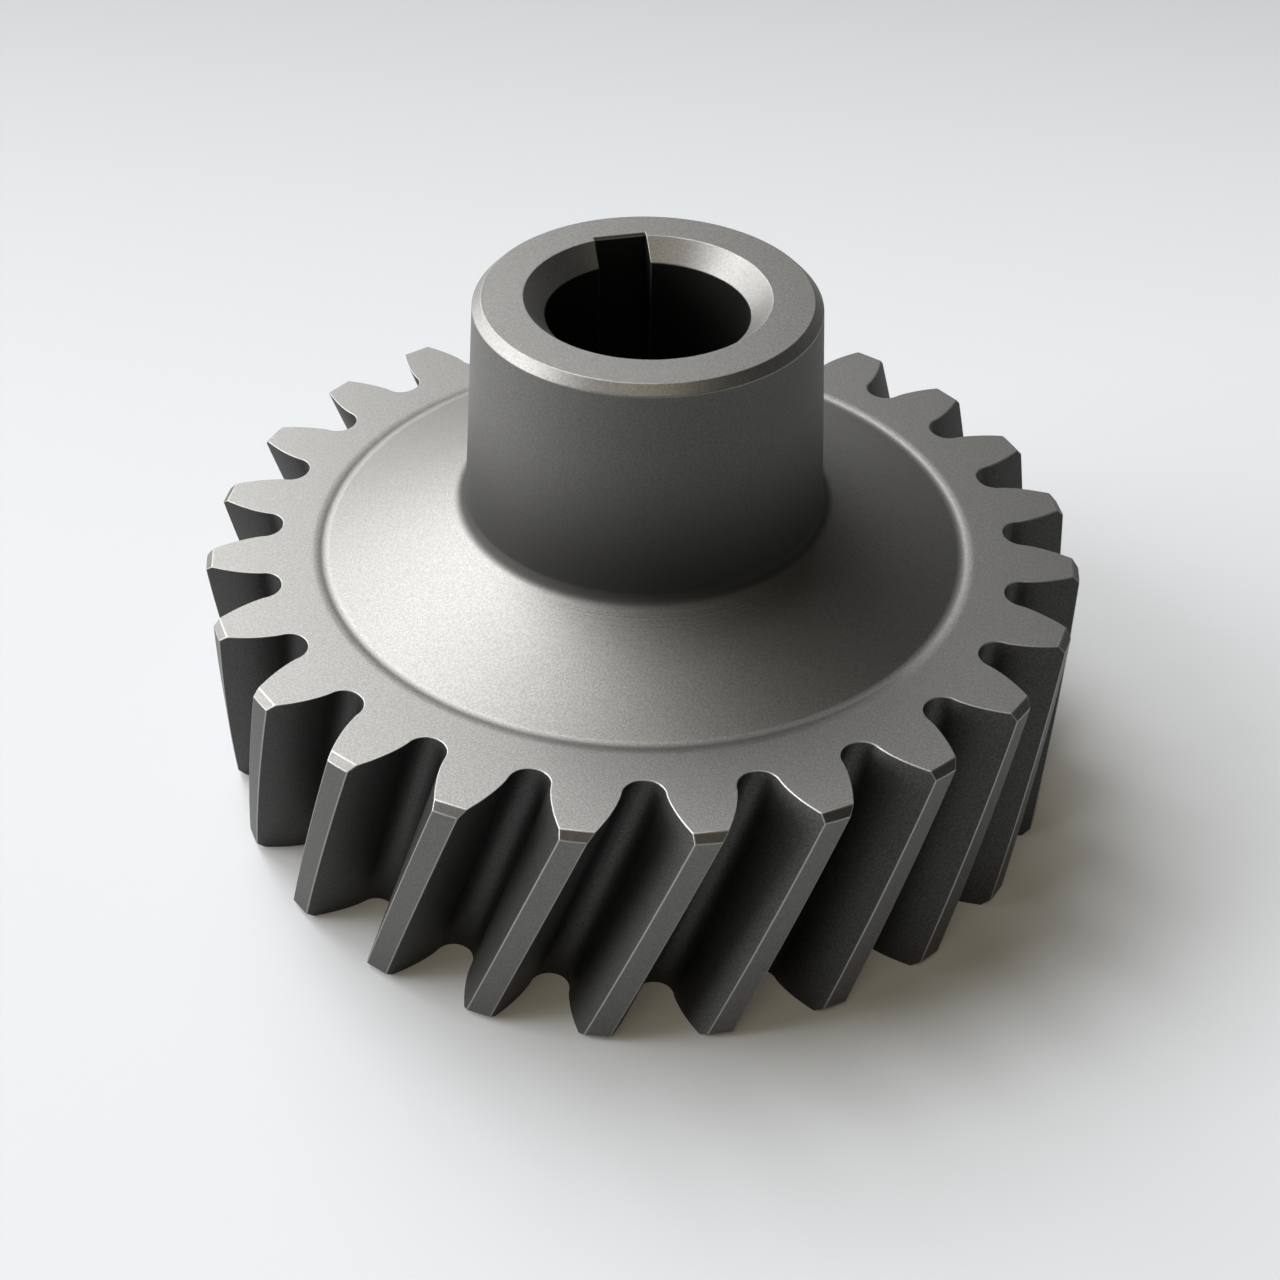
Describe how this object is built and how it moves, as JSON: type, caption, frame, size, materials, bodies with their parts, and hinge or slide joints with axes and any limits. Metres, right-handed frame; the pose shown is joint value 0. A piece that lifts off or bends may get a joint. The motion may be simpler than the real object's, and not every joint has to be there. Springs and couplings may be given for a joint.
{
  "type": "helical gear",
  "caption": "One-piece helical gear with right-hand teeth, a conical web, a long hub on one side and a keyed, chamfered bore.",
  "frame": {"origin": "on the bore axis, in the plane of the flat back face that the gear rests on", "axes": "+Z along the bore axis towards the hub end, +Y through the middle of the keyway"},
  "size_m": [0.137, 0.137, 0.084],
  "materials": {
    "steel": "satin, fine blasted grain"
  },
  "bodies": {
    "root": {"helical_gear": "steel"}
  },
  "joints": []
}
